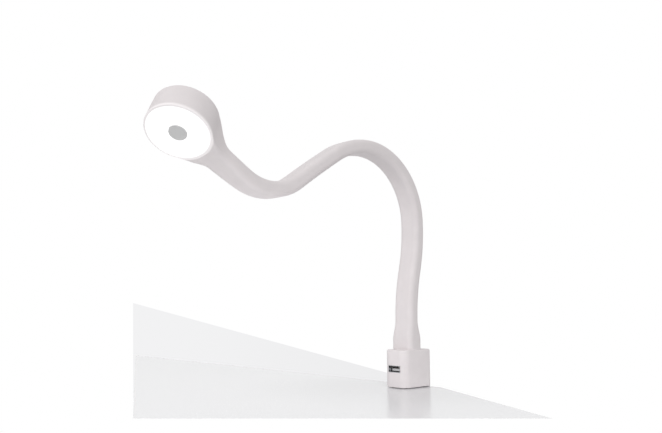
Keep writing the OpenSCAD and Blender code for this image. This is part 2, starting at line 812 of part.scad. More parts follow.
module head_shell() color("whitesmoke") {
  difference() {
    union() {
      at_head() rotate_extrude($fn = 128) head_profile();
      at_neck() onward(arm_gap, head_centre - head_r / 2) strap_section();
      at_neck() rotate([90, 0, 0]) linear_extrude(arm_t - arm_edge, center = true) neck_flare();
    }
    at_head() {
      translate([0, 0, -1]) cylinder(h = head_t - head_wall + 1, r = cavity_r, $fn = 128);
      translate([0, 0, -1]) cylinder(h = diffuser_t + 1, r = diffuser_r + drop_fit, $fn = 128);
    }
    at_neck() cylinder(h = head_centre - cavity_r + 1, d = ring_d + 1);
    at_neck() cylinder(h = collar_end, d = collar_d + 2 * drop_fit);
  }
  at_head() head_bosses();
}

module around_bosses() {
  for (k = [0 : boss_count - 1]) rotate(90 + k * 360 / boss_count) translate([boss_ring, 0, 0]) children();
}

module head_bosses() {
  around_bosses() translate([0, 0, sink_back])
    ring(boss_d / 2, head_screw_d / 2 + screw_fit, head_t - head_wall - sink_back + boss_root);
}

// Disc across the inside of the head, drilled for the screws
module head_disc(depth, t) {
  at_head() translate([0, 0, depth]) difference() {
    cylinder(h = t, r = board_r);
    translate([0, 0, -1]) around_bosses() cylinder(h = t + 2, d = head_screw_d + 4 * screw_fit);
  }
}

module heat_sink() color("silver") {
  head_disc(sink_front, sink_t);
}

module led_board() color("white") {
  head_disc(led_depth, board_t);
}

module leds() color("khaki") {
  at_head() for (k = [0 : led_count - 1]) rotate(k * 360 / led_count)
    translate([led_ring - led_size.x / 2, -led_size.y / 2, led_depth - led_size.z]) cube(led_size);
}

module head_screws() color("silver") {
  at_head() around_bosses() {
    translate([0, 0, led_depth]) cylinder(h = head_screw_end - led_depth, d = head_screw_d);
    translate([0, 0, led_depth - head_screw_head]) cylinder(h = head_screw_head, d = 2 * head_screw_d);
  }
}

module switch_body() color("black") {
  at_head() translate([0, 0, switch_front]) difference() {
    translate([-switch_w / 2, -switch_w / 2, 0]) cube([switch_w, switch_w, led_depth - switch_front]);
    translate([0, 0, -1]) cylinder(h = button_travel + switch_well + 1, d = plunger_d + 2 * swivel_fit);
  }
}

module button_guide() color("white") {
  at_head() translate([0, 0, diffuser_t]) ring(guide_r + guide_wall, guide_r, led_depth - diffuser_t);
}

module switch_plunger() color("dimgray") {
  at_head() translate([0, 0, plunger_top])
    cylinder(h = switch_front - plunger_top + plunger_grip, d = plunger_d);
}

module switch_button() color("darkgray") {
  at_head() {
    translate([0, 0, -button_proud]) cylinder(h = flange_top + button_proud, d = button_d);
    translate([0, 0, flange_top]) cylinder(h = flange_t, r = flange_r);
  }
}

module diffuser() color("white") {
  at_head() ring(diffuser_r, button_d / 2 + button_gap, diffuser_t);
}

// ---- Assembly ----

base_housing();
bottom_plate();
seat_pad();
bottom_screws();
power_board();
power_parts();
usb_shell();
usb_tongue();
power_inlet();
inlet_pin();
arm_anchor();
anchor_screws();
clamp_bracket();
bracket_screws();
clamp_nut();
clamp_screw();
clamp_knob();
pad_clip();
clamp_pad();
pad_rubber();
arm_foot();
foot_rods();
foot_lead();
for (i = [1 : LINKS]) {
  arm_sleeve(i - 1);
  arm_rods(i - 1);
  arm_lead(i - 1);
}
neck_ferrule();
swivel_ring();
swivel_collar();
head_shell();
heat_sink();
led_board();
leds();
head_screws();
switch_body();
button_guide();
switch_plunger();
switch_button();
diffuser();
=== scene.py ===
"""Clip-on reading lamp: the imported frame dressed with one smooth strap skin, a moulded head, a threaded
clamp screw and procedural materials, clamped to the edge of a pale table top. Metres throughout."""
import json
import math

import bmesh
import bpy
from mathutils import Matrix, Vector


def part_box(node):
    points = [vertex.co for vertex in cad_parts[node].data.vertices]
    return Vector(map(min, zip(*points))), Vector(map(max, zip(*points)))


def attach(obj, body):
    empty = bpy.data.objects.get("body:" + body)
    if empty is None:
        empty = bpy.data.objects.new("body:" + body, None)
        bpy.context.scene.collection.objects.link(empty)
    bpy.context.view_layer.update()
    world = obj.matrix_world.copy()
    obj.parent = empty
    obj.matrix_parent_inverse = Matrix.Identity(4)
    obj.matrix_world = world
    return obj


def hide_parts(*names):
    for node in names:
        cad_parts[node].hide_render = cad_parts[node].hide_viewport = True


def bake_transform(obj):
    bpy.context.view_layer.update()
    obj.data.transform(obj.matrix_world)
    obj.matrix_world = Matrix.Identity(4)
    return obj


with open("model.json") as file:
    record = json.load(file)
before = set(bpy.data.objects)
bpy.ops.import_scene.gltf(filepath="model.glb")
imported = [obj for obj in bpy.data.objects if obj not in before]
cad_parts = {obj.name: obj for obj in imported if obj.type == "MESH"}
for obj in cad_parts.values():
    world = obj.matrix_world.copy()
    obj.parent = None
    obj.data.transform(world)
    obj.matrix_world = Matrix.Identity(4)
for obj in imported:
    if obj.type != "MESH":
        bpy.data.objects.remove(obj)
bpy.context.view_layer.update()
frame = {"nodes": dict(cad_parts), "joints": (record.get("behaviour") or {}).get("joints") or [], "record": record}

MM = 0.001
TURN = 2 * math.pi
Z_TO_Y = Matrix.Rotation(-math.pi / 2, 4, "X")
WHITE = (1, 1, 1, 1)
SAME_POINT = 0.001 * MM
nodes = frame["nodes"]
joints = {joint["name"]: joint for joint in frame["joints"]}

# The strap's bodies and the joints between them, from the base to the head
STRETCHES = 8
BENDS = [f"arm_{('sway', 'fold')[i % 2]}_{i // 2 + 1}" for i in range(STRETCHES)] + ["head_turn"]
SKINNED = ["arm_foot"] + [f"arm_sleeve_{i + 1}" for i in range(STRETCHES)]

# Strap and foot. The foot starts to narrow at a share of its length and takes another share for it
STRAP_W = 20 * MM
STRAP_T = 12 * MM
STRAP_EDGE = 4.5 * MM
FOOT_W = 22 * MM
FOOT_T = 16.4 * MM
FOOT_NARROWS_AT = 0.3
FOOT_NARROWS_OVER = 0.65

# The head's twist is shared out over the last stretches of the strap and the start of the neck
TWISTED_STRETCHES = 1.6
TWISTED_NECK = 6.8 * MM

# Head. The neck comes to the face's level sooner than it comes to the head's full thickness
HEAD_R = 23.5 * MM
HEAD_T = 22.5 * MM
LIT_DEPTH = 8 * MM
BACK_EDGE = 2.5 * MM
FRONT_EDGE = 0.8 * MM
NECK_FILLET = 44 * MM
FACE_GROWTH = 2
BACK_GROWTH = 1.15
HEAD_WALL = 2.2 * MM
RIM = 1.4 * MM
DIFFUSER_T = 1.8 * MM

# Rings of the skin along its length, and steps round each ring
RINGS_A_STRETCH = 20
NECK_START = RINGS_A_STRETCH * (STRETCHES + 1)
NECK_RINGS = 30
HEAD_RINGS = 64
EDGE_STEPS = 8
WALL_STEPS = 4
FACE_STEPS = 12

# Rings of the neck that go with the strap's last skin piece rather than the head's shell
BENDING_NECK = 14


# ---- Places along the strap ----

def along(heading):
    """The direction that a heading points in: upright at 0, and along -Y at a quarter turn."""
    return Vector((0, -math.sin(heading), math.cos(heading)))


def out_of_back(heading):
    """The direction square to a heading that points out of an untwisted strap's back."""
    return Vector((0, math.cos(heading), math.sin(heading)))


def strap_place(point, heading, twist):
    """The frame of a section: X across the strap, Y out of its back and Z along it."""
    across = math.cos(twist) * Vector((1, 0, 0)) + math.sin(twist) * out_of_back(heading)
    out = math.cos(twist) * out_of_back(heading) - math.sin(twist) * Vector((1, 0, 0))
    place = Matrix((across, out, along(heading))).transposed().to_4x4()
    place.translation = point
    return place


bends = [Vector(joints[name]["pos_m"]) for name in BENDS]
headings = [0.0]
for start, end in zip(bends, bends[1:]):
    chord = math.atan2(start.y - end.y, end.z - start.z)
    headings.append(headings[-1] + math.remainder(2 * chord - 2 * headings[-1], TURN))

press = Vector(joints["button_press"]["axis"]).normalized()
head_twist = math.atan2(-press.x, press.dot(out_of_back(headings[-1])))
last_stretch = (bends[-1] - bends[-2]).length
neck_place = strap_place(bends[-1], headings[-1], head_twist)

# The head's place has its origin in the middle of the lit face and Z out of the head's back
lit_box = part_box("diffuser")
lit_middle = (Vector(lit_box[0]) + Vector(lit_box[1])) / 2
head_z = (neck_place.inverted() @ lit_middle).z
head_place = neck_place @ Matrix.Translation((0, -LIT_DEPTH, head_z)) @ Z_TO_Y

# Centre of the fillet on one side of the neck, in the neck's place
fillet_x = STRAP_W / 2 + NECK_FILLET
fillet_z = head_z - math.sqrt((HEAD_R + NECK_FILLET) ** 2 - fillet_x ** 2)


def smooth(t):
    """Eases from 0 to 1."""
    t = min(max(t, 0), 1)
    return t * t * (3 - 2 * t)


def twist_at(stretches):
    """The strap's twist at a number of stretches from the foot: it ends a little way up the neck."""
    end = STRETCHES + TWISTED_NECK / last_stretch
    start = STRETCHES - TWISTED_STRETCHES
    return head_twist * smooth((stretches - start) / (end - start))


def strap_at(stretch, share):
    """The point and heading at a share of one stretch, which is an arc of a circle."""
    turn = headings[stretch + 1] - headings[stretch]
    radius = (bends[stretch + 1] - bends[stretch]).length / (2 * math.sin(abs(turn) / 2))
    part = share * turn
    reach = 2 * radius * math.sin(abs(part) / 2)
    return bends[stretch] + reach * along(headings[stretch] + part / 2), headings[stretch] + part


# ---- Meshes ----

def mesh_object(name, mesh, *materials):
    """A piece of the scene made of a mesh."""
    piece = bpy.data.objects.new(name, mesh)
    bpy.context.scene.collection.objects.link(piece)
    for material in materials:
        mesh.materials.append(material)
    return piece


def ring_faces(rings):
    """The faces between each ring of points and the next."""
    count = len(rings[0])
    return [(i + j, i + (j + 1) % count, i + count + (j + 1) % count, i + count + j)
            for i in range(0, (len(rings) - 1) * count, count) for j in range(count)]


def mesh_of(name, rings, faces):
    """A mesh of faces on the points of some rings."""
    mesh = bpy.data.meshes.new(name)
    mesh.from_pydata([tuple(point) for ring in rings for point in ring], [], faces)
    return mesh


def ring_mesh(name, rings, start_cap=False, end_cap=False):
    """A skin over closed rings of points that run anticlockwise round its length."""
    count = len(rings[0])
    faces = ring_faces(rings)
    if start_cap:
        faces.append(tuple(reversed(range(count))))
    if end_cap:
        faces.append(tuple(range((len(rings) - 1) * count, len(rings) * count)))
    mesh = mesh_of(name, rings, faces)
    join_and_shade(mesh)
    return mesh


def join_and_shade(mesh, sharp=40):
    """Joins points that coincide, and shades smooth over edges that turn less than so many degrees."""
    shape = bmesh.new()
    shape.from_mesh(mesh)
    bmesh.ops.remove_doubles(shape, verts=shape.verts, dist=SAME_POINT)
    bmesh.ops.dissolve_degenerate(shape, edges=shape.edges, dist=SAME_POINT)
    for face in shape.faces:
        face.smooth = True
    for edge in shape.edges:
        edge.smooth = len(edge.link_faces) < 2 or edge.calc_face_angle(0) < math.radians(sharp)
    shape.to_mesh(mesh)
    shape.free()


def circle_point(radius, height, k, steps):
    """One of so many points round a circle about the Z axis."""
    angle = TURN * k / steps
    return Vector((radius * math.cos(angle), radius * math.sin(angle), height))


def circle(radius, height, steps):
    """All the points round a circle about the Z axis."""
    return [circle_point(radius, height, k, steps) for k in range(steps)]


def turned(name, place, profile, steps):
    """A solid turned from (radius, height) points that run round its section, upwards outside."""
    rings = [[place @ point for point in circle(radius, height, steps)] for radius, height in profile]
    return ring_mesh(name, rings)


def cut_out(piece, cutter_mesh, crossed=False):
    """Cuts a solid out of a piece and leaves the result in its mesh. A crossed one runs through itself."""
    cutter = mesh_object("cutter", cutter_mesh)
    cut = piece.modifiers.new("cut", "BOOLEAN")
    cut.object = cutter
    cut.operation = "DIFFERENCE"
    cut.solver = "EXACT"
    cut.use_self = crossed
    bpy.context.view_layer.update()
    evaluated = piece.evaluated_get(bpy.context.evaluated_depsgraph_get())
    piece.data = bpy.data.meshes.new_from_object(evaluated)
    piece.modifiers.clear()
    bpy.data.objects.remove(cutter)


# ---- Skin of the strap, neck and head ----

def side_profile(front, back, front_edge, back_edge):
    """(inset, height) down the side of a section, from its front face to its back one."""
    angles = [k * math.pi / 2 / EDGE_STEPS for k in range(EDGE_STEPS + 1)]
    points = [(front_edge * (1 - math.sin(a)), front + front_edge * (1 - math.cos(a))) for a in angles]
    low, high = front + front_edge, back - back_edge
    points += [(0, low + (high - low) * k / WALL_STEPS) for k in range(1, WALL_STEPS)]
    points += [(back_edge * (1 - math.sin(a)), back - back_edge * (1 - math.cos(a)))
               for a in reversed(angles)]
    return points


def section(place, outline, outward, profile):
    """One ring of the skin: a side profile set in from the outline, its mirror image and the two faces."""
    right = [Vector((outline[0] - inset * outward[0], height, outline[1] - inset * outward[1]))
             for inset, height in profile]
    left = [Vector((-point.x, point.y, point.z)) for point in reversed(right)]
    back = [right[-1].lerp(left[0], k / FACE_STEPS) for k in range(1, FACE_STEPS)]
    front = [left[-1].lerp(right[0], k / FACE_STEPS) for k in range(1, FACE_STEPS)]
    return [place @ point for point in right + back + left + front]


def strap_ring(point, heading, twist, width=STRAP_W, thickness=STRAP_T):
    """One ring of the strap or the foot."""
    profile = side_profile(-thickness / 2, thickness / 2, STRAP_EDGE, STRAP_EDGE)
    return section(strap_place(point, heading, twist), (width / 2, 0), (1, 0), profile)


def foot_rings():
    """From the base up to the first bend, where the foot narrows to the strap."""
    base_top = Vector((0, bends[0].y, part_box("base_housing")[1][2]))
    rings = []
    for k in range(RINGS_A_STRETCH):
        share = k / RINGS_A_STRETCH
        narrow = smooth((share - FOOT_NARROWS_AT) / FOOT_NARROWS_OVER)
        width = FOOT_W + (STRAP_W - FOOT_W) * narrow
        thickness = FOOT_T + (STRAP_T - FOOT_T) * narrow
        rings.append(strap_ring(base_top.lerp(bends[0], share), 0, 0, width, thickness))
    return rings


def stretch_rings(stretch):
    """One stretch of the strap, with its share of the head's twist. The fillets beside the neck may
    start on the last one."""
    rings = []
    reach = (bends[stretch + 1] - bends[stretch]).length
    for k in range(RINGS_A_STRETCH):
        share = k / RINGS_A_STRETCH
        width = STRAP_W
        climb = (share - 1) * reach - fillet_z
        if stretch == STRETCHES - 1 and climb > 0:
            width = 2 * (fillet_x - math.sqrt(NECK_FILLET ** 2 - climb ** 2))
        rings.append(strap_ring(*strap_at(stretch, share), twist_at(stretch + share), width))
    return rings


def neck_rings(meet):
    """The neck flares along its fillets up to the angle where they meet the round head, and takes
    what is left of the twist."""
    start = math.asin(max(0, -fillet_z) / NECK_FILLET)
    rings = []
    for k in range(NECK_RINGS):
        a = start + (meet - start) * k / NECK_RINGS
        grown = smooth(k / NECK_RINGS * BACK_GROWTH)
        profile = side_profile(
            -STRAP_T / 2 + (STRAP_T / 2 - LIT_DEPTH) * smooth(k / NECK_RINGS * FACE_GROWTH),
            STRAP_T / 2 + (HEAD_T - LIT_DEPTH - STRAP_T / 2) * grown,
            STRAP_EDGE + (FRONT_EDGE - STRAP_EDGE) * grown,
            STRAP_EDGE + (BACK_EDGE - STRAP_EDGE) * grown)
        outline = (fillet_x - NECK_FILLET * math.cos(a), fillet_z + NECK_FILLET * math.sin(a))
        short = twist_at(STRETCHES + outline[1] / last_stretch) - head_twist
        place = neck_place @ Matrix.Rotation(short, 4, "Z")
        rings.append(section(place, outline, (math.cos(a), -math.sin(a)), profile))
    return rings


def head_rings(meet):
    """The rings of the round head, from the neck to its far side."""
    profile = side_profile(-LIT_DEPTH, HEAD_T - LIT_DEPTH, FRONT_EDGE, BACK_EDGE)
    rings = []
    for k in range(HEAD_RINGS + 1):
        a = meet - (meet + math.pi / 2) * k / HEAD_RINGS
        outward = (math.cos(a), -math.sin(a))
        outline = (HEAD_R * outward[0], head_z + HEAD_R * outward[1])
        rings.append(section(neck_place, outline, outward, profile))
    return rings


def key(point):
    """A point rounded to a ten thousandth of a millimetre, to look it up by."""
    return tuple(round(value * 1e7) for value in point)


def skin_normals(rings):
    """The normals of the skin in one piece, by the points that they stand on."""
    whole = mesh_of("whole_skin", rings, ring_faces(rings))
    normals = {key(vertex.co): normal.vector.copy()
               for vertex, normal in zip(whole.vertices, whole.vertex_normals)}
    bpy.data.meshes.remove(whole)
    return normals


def match_normals(mesh, normals):
    """Gives each corner that lies on the whole skin that skin's normal, so that no seam shows."""
    unchanged = Vector((0, 0, 0))
    mesh.normals_split_custom_set(
        [normals.get(key(mesh.vertices[loop.vertex_index].co), unchanged) for loop in mesh.loops])


def skin_cuts():
    """The rings at which the skin is cut: half way along each stretch, sooner on the last one, and
    in the neck."""
    cuts = [0] + [RINGS_A_STRETCH * (i + 1) + RINGS_A_STRETCH // 2 for i in range(STRETCHES - 1)]
    cuts.append(NECK_START - RINGS_A_STRETCH + RINGS_A_STRETCH // 4)
    cuts.append(NECK_START + BENDING_NECK)
    return cuts


def skin_pieces(material, shell_material):
    """The whole skin is made once, for its normals, then cut into a piece for each bend."""
    meet = math.acos(fillet_x / (HEAD_R + NECK_FILLET))
    rings = foot_rings()
    for stretch in range(STRETCHES):
        rings += stretch_rings(stretch)
    rings += neck_rings(meet) + head_rings(meet)
    normals = skin_normals(rings)
    cuts = skin_cuts()
    for i, (start, end) in enumerate(zip(cuts, cuts[1:])):
        mesh = ring_mesh(f"strap_skin_{i}", rings[start:end + 1], start_cap=(i == 0))
        match_normals(mesh, normals)
        piece = mesh_object(f"strap_skin_{i}", mesh, material)
        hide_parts(SKINNED[i])
        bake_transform(piece)
    head_skin(rings[cuts[-1]:], normals, shell_material)


def head_skin(rings, normals, material):
    """The head's shell, open at its lit face."""
    shell = mesh_object("head_shell_skin", ring_mesh("head_shell_skin", rings, start_cap=True), material)
    cavity_r = HEAD_R - HEAD_WALL
    ledge_r = HEAD_R - RIM
    before_face = -5 * MM
    cavity_end = HEAD_T - HEAD_WALL
    profile = [(0, before_face), (ledge_r, before_face), (ledge_r, DIFFUSER_T), (cavity_r, DIFFUSER_T),
               (cavity_r, cavity_end), (0, cavity_end)]
    cut_out(shell, turned("cutter", head_place, profile, 128))
    join_and_shade(shell.data, 30)
    match_normals(shell.data, normals)
    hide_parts("head_shell")
    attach(shell, "head")


# ---- Materials ----

def linear(*levels):
    """A colour given in display levels from 0 to 255, as the shader takes it."""
    values = [level / 255 for level in levels]
    return tuple(v / 12.92 if v <= 0.04045 else ((v + 0.055) / 1.055) ** 2.4 for v in values) + (1.0,)


# Most of a noise's values lie between these two
NOISE_LOW = 0.3
NOISE_HIGH = 0.7

# Patches to the metre of a surface's colour and of the lit face's glow
PATCHES = 90
GLOW_PATCHES = 60

# How much a surface's roughness varies either way
UNEVEN_ROUGHNESS = 0.06

# Colour, roughness, grain to the metre, depth of the grain, mottling, metallic and stretch of the grain,
# for each slot of the record but the lit face's, and for two more surfaces that are in the USB socket:
# grey_plastic and gold
PALE = linear(240, 240, 242)
SILICONE = (linear(228, 222, 223), 0.62, 3400, 0.008 * MM)
SURFACES = {
    "white_housing": (linear(235, 229, 230), 0.5, 2600, 0.01 * MM),
    "white_silicone": SILICONE,
    "dark_rubber": (linear(58, 58, 60), 0.75, 1800, 0.03 * MM, 0.08),
    "steel": (linear(196, 197, 200), 0.3, 900, 0.004 * MM, 0.04, 1.0, (1.0, 1.0, 12.0)),
    "white_steel": (linear(224, 219, 220), 0.4, 700, 0.01 * MM),
    "aluminium": (linear(210, 211, 213), 0.38, 1200, 0.004 * MM, 0.03, 1.0),
    "black_plastic": (linear(40, 40, 42), 0.45, 2200, 0.01 * MM, 0.08),
    "grey_plastic": (linear(232, 232, 233), 0.45, 2200, 0.01 * MM, 0.04),
    "green_board": (linear(34, 92, 60), 0.35, 1500, 0.008 * MM, 0.1),
    "white_board": (linear(236, 236, 232), 0.35, 1500, 0.006 * MM),
    "lead_jacket": (linear(60, 60, 62), 0.6, 2500, 0.01 * MM, 0.06),
    "led_phosphor": (linear(250, 232, 170), 0.3, 2500, 0.006 * MM, 0.04),
    "grey_button": (linear(214, 214, 214), 0.5, 2600, 0.01 * MM),
    "parts_black": (linear(70, 70, 74), 0.4, 2200, 0.01 * MM, 0.08),
    "gold": (linear(222, 190, 120), 0.3, 1500, 0.003 * MM, 0.05, 1.0)}

# Nodes that take another of these surfaces than their slot's
OTHER_SURFACE = {"usb_tongue": "grey_plastic"}


def new_material(name):
    """A material with its node tree and its shader."""
    material = bpy.data.materials.new(name)
    material.use_nodes = True
    return material, material.node_tree, shader_of(material)


def shader_of(material):
    """The shader that the sockets of a surface belong to."""
    return material.node_tree.nodes["Principled BSDF"]


def noise(tree, scale, detail=3.0, stretch=None):
    """Noise over the object's own coordinates, with so many features to the metre."""
    where = tree.nodes.new("ShaderNodeTexCoord").outputs["Object"]
    if stretch:
        mapping = tree.nodes.new("ShaderNodeMapping")
        mapping.inputs["Scale"].default_value = stretch
        tree.links.new(where, mapping.inputs["Vector"])
        where = mapping.outputs["Vector"]
    texture = tree.nodes.new("ShaderNodeTexNoise")
    texture.inputs["Scale"].default_value = scale
    texture.inputs["Detail"].default_value = detail
    tree.links.new(where, texture.inputs["Vector"])
    return texture.outputs["Fac"]


def distance(tree, point):
    """How far the surface is from a point, in the object's own coordinates."""
    where = tree.nodes.new("ShaderNodeTexCoord")
    away = tree.nodes.new("ShaderNodeVectorMath")
    away.operation = "DISTANCE"
    away.inputs[1].default_value = point
    tree.links.new(where.outputs["Object"], away.inputs[0])
    return away.outputs["Value"]


def colours(tree, value, low, high):
    """Colours between two, by a noise's value."""
    node = tree.nodes.new("ShaderNodeValToRGB")
    for element, colour, place in zip(node.color_ramp.elements, (low, high), (NOISE_LOW, NOISE_HIGH)):
        element.color = colour
        element.position = place
    tree.links.new(value, node.inputs["Fac"])
    return node.outputs["Color"]


def ranged(tree, value, start, end, low, high, easing="LINEAR"):
    """A number that goes from low to high while a value goes from start to end."""
    node = tree.nodes.new("ShaderNodeMapRange")
    node.interpolation_type = easing
    for name, number in (("From Min", start), ("From Max", end), ("To Min", low), ("To Max", high)):
        node.inputs[name].default_value = number
    tree.links.new(value, node.inputs["Value"])
    return node.outputs["Result"]


def bump(tree, shader, height, depth):
    """Fine relief, so many metres deep."""
    node = tree.nodes.new("ShaderNodeBump")
    node.inputs["Strength"].default_value = 1.0
    node.inputs["Distance"].default_value = depth
    tree.links.new(height, node.inputs["Height"])
    tree.links.new(node.outputs["Normal"], shader.inputs["Normal"])


def shade(colour, factor):
    """A colour made lighter or darker."""
    return tuple(value * factor for value in colour[:3]) + (1.0,)


def surface(name, colour, rough, grain=2600, depth=0.012 * MM, mottle=0.02, metallic=0.0, stretch=None):
    """A surface with fine grain, a slightly uneven colour and patches more and less worn."""
    material, tree, shader = new_material(name)
    base = colours(tree, noise(tree, PATCHES), shade(colour, 1 - mottle), shade(colour, 1 + mottle))
    tree.links.new(base, shader.inputs["Base Color"])
    fine = noise(tree, grain, detail=2.0, stretch=stretch)
    smoother, rougher = rough - UNEVEN_ROUGHNESS, rough + UNEVEN_ROUGHNESS
    roughness = ranged(tree, fine, NOISE_LOW, NOISE_HIGH, smoother, rougher)
    tree.links.new(roughness, shader.inputs["Roughness"])
    bump(tree, shader, fine, depth)
    shader.inputs["Metallic"].default_value = metallic
    return material


def lit_diffuser(strength):
    """The lit face, which gives off its own light a little unevenly."""
    material = surface("diffuser", linear(240, 240, 240), 0.6)
    tree = material.node_tree
    shader = shader_of(material)
    glow = linear(255, 255, 255)
    uneven = colours(tree, noise(tree, GLOW_PATCHES), shade(glow, 0.98), glow)
    tree.links.new(uneven, shader.inputs["Emission Color"])
    shader.inputs["Emission Strength"].default_value = strength
    return material


def glow_painted_shell(strength):
    """The strap's silicone on the head's shell, with a painted glow on its lip that stands in for the lit face's
    light spilling over it.
    The painted glow fades with the distance from a point before the face, so that the head's back stays dark."""
    material = surface("glow_painted_shell", *SILICONE)
    tree = material.node_tree
    shader = shader_of(material)
    ahead = 10 * MM
    lip = (ahead ** 2 + HEAD_R ** 2) ** 0.5
    away = distance(tree, head_place @ Vector((0, 0, -ahead)))
    # Painted glow on the shell's lip, strongest next to the lit face
    fading = ranged(tree, away, lip, lip + 1.4 * MM, strength, 0, "SMOOTHSTEP")
    shader.inputs["Emission Color"].default_value = WHITE
    tree.links.new(fading, shader.inputs["Emission Strength"])
    return material


def all_materials():
    """Every material of the lamp, by name."""
    finish = {name: surface(name, *numbers) for name, numbers in SURFACES.items()}
    finish["diffuser"] = lit_diffuser(0.55)
    # The head's shell has a painted glow round its lip
    finish["glow_painted_shell"] = glow_painted_shell(0.24)
    return finish


def dress_nodes(finish):
    """Every CAD node takes the material of its slot in the record, or the one that is named for it."""
    for part in frame["record"]["subparts"]:
        node = nodes[part["node"]]
        material = finish[OTHER_SURFACE.get(part["node"], part["material_slot"])]
        if not node.material_slots:
            node.data.materials.append(material)
        for place in node.material_slots:
            place.material = material


# ---- Clamp screw, screw heads and contacts ----

# The thread: points round it, levels to a turn, its depth, and what its crest stands back from the solid
THREAD_STEPS = 48
LEVELS_A_TURN = 10
THREAD_DEPTH = 0.9 * MM
THREAD_BACK = 0.05 * MM

# Its groove is a share of that depth: the first number in the middle of a turn, less the second for
# each turn away from there, and from 0 to 1
GROOVE_MIDDLE = 1.25
GROOVE_SLOPE = 3.2

# Lengths over which it starts at the screw's lower end and runs out below the shoulder
THREAD_START = 1.2 * MM
THREAD_END = 0.6 * MM

# The tip above the shoulder that carries the pad: its length, the step at its foot and its chamfer
TIP_LENGTH = 4 * MM
TIP_STEP = 1.5 * MM
TIP_CHAMFER = 0.3 * MM


def thread_ring(z, low, shoulder, radius, pitch):
    """One level of the thread, whose groove has sloping sides and a flat floor."""
    ends = 1 - min(1, (z - low) / THREAD_START, (shoulder - z) / THREAD_END)
    ring = []
    for k in range(THREAD_STEPS):
        phase = (z / pitch - k / THREAD_STEPS) % 1
        groove = min(1, max(0, GROOVE_MIDDLE - abs(phase - 0.5) * GROOVE_SLOPE))
        r = radius - THREAD_BACK - max(THREAD_DEPTH * groove, ends * THREAD_DEPTH)
        ring.append(circle_point(r, z, k, THREAD_STEPS))
    return ring


def threaded_rod(finish):
    """The clamp screw with its thread cut below the shoulder that carries the pad."""
    low, high = (Vector(corner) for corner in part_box("clamp_screw"))
    radius = (high.x - low.x) / 2
    tip_r = radius - TIP_STEP
    shoulder = high.z - TIP_LENGTH
    pitch = TURN / abs(frame["record"]["behaviour"]["couplings"][0]["ratio"])
    levels = int((shoulder - low.z) / (pitch / LEVELS_A_TURN))
    rings = [circle(0, low.z, THREAD_STEPS)]
    for i in range(levels + 1):
        z = low.z + (shoulder - low.z) * i / levels
        rings.append(thread_ring(z, low.z, shoulder, radius, pitch))
    for r, z in [(tip_r, shoulder), (tip_r, high.z - TIP_CHAMFER), (tip_r - TIP_CHAMFER, high.z),
                 (0, high.z)]:
        rings.append(circle(r, z, THREAD_STEPS))
    piece = mesh_object("threaded_screw", ring_mesh("threaded_screw", rings), finish["steel"])
    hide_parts("clamp_screw")
    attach(piece, "clamp_screw_and_knob")


def cross_recess(radius, depth):
    """A cutter for a cross-shaped recess in a face at Z = 0, which narrows downwards."""
    above = (radius, radius * 0.26)
    below = (radius * 0.35, radius * 0.16)
    shape = bmesh.new()
    for turn in range(2):
        for side in (-1, 1):
            for vertex in bmesh.ops.create_cube(shape, size=1.0)["verts"]:
                deep = vertex.co.z < 0
                reach, wide = below if deep else above
                point = Vector((reach * (vertex.co.x + 0.5) * side, wide * 2 * vertex.co.y,
                                -depth if deep else depth))
                vertex.co = Matrix.Rotation(turn * math.pi / 2, 3, "Z") @ point
    bmesh.ops.recalc_face_normals(shape, faces=shape.faces)
    mesh = bpy.data.meshes.new("cross_recess")
    shape.to_mesh(mesh)
    shape.free()
    return mesh


def bracket_screw_profile(head_r, length):
    """(radius, height) points round a countersunk screw's section, with the head's top at 0."""
    shank_r = head_r / 2
    point = 0.3 * MM
    head_h = 2 * MM
    rim = 0.03 * MM
    rounding = 0.12 * MM
    crown = 0.02 * MM
    return [(0, -length), (shank_r - point, -length), (shank_r, point - length), (shank_r, -head_h),
            (head_r - rim, -rounding), (head_r - rounding, -crown), (0, 0)]


def bracket_screw_pair(finish):
    """Two countersunk screws with cross recesses, let into the back of the clamp's bracket."""
    low, high = (Vector(corner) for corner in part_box("bracket_screws"))
    head_r = (high.x - low.x) / 2
    recess_r = head_r * 0.62
    recess_depth = 1.1 * MM
    profile = bracket_screw_profile(head_r, high.y - low.y)
    for i, z in enumerate((low.z + head_r, high.z - head_r)):
        place = Matrix.Translation((0, high.y, z)) @ Z_TO_Y
        mesh = turned("bracket_screw", Matrix.Identity(4), profile, 48)
        piece = mesh_object(f"bracket_screw_{i + 1}", mesh, finish["steel"])
        cut_out(piece, cross_recess(recess_r, recess_depth), crossed=True)
        as_screwed_in = Matrix.Rotation(0.5 + i, 4, "Z")
        piece.data.transform(place @ as_screwed_in)
        join_and_shade(piece.data, 30)
        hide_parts("bracket_screws")
        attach(piece, "base")


def usb_contacts(finish):
    """Four spring contacts on the upper face of the tongue in the USB socket, each with its section
    at four places along it."""
    low = Vector(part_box("usb_tongue")[0])
    tongue_lift = 0.7 * MM
    tongue_t = 1.84 * MM
    top = low.z + tongue_lift + tongue_t
    sunk = top - 0.1 * MM
    front = low.y + 0.6 * MM
    half_w = 0.5 * MM
    rise = 0.1 * MM
    rows = [(front, -0.05 * MM), (front + 0.5 * MM, rise), (front + 5 * MM, rise), (front + 6 * MM, 0)]
    for i, x in enumerate([-3.5 * MM, -1 * MM, 1 * MM, 3.5 * MM]):
        left = x - half_w
        right = x + half_w
        rings = [[Vector((left, y, top + up)), Vector((right, y, top + up)), Vector((right, y, sunk)),
                  Vector((left, y, sunk))] for y, up in rows]
        strip = mesh_object(f"usb_contact_{i + 1}", ring_mesh("usb_contact", rings, True, True),
                            finish["gold"])
        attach(strip, "base")


# ---- Stage, light and camera ----

# Corners of the table top towards the camera, and how far its two sides run along -X for each metre of Y
TABLE_NEAR = Vector((0.1728, -0.0678))
TABLE_LEFT = Vector((-0.0041, -0.2565))
RIGHT_SLANT = 1.797
LEFT_SLANT = 1.944

# The clamp's bracket, and the gap that it leaves to the table's edge
BRACKET_T = 3 * MM
EDGE_GAP = 0.1 * MM

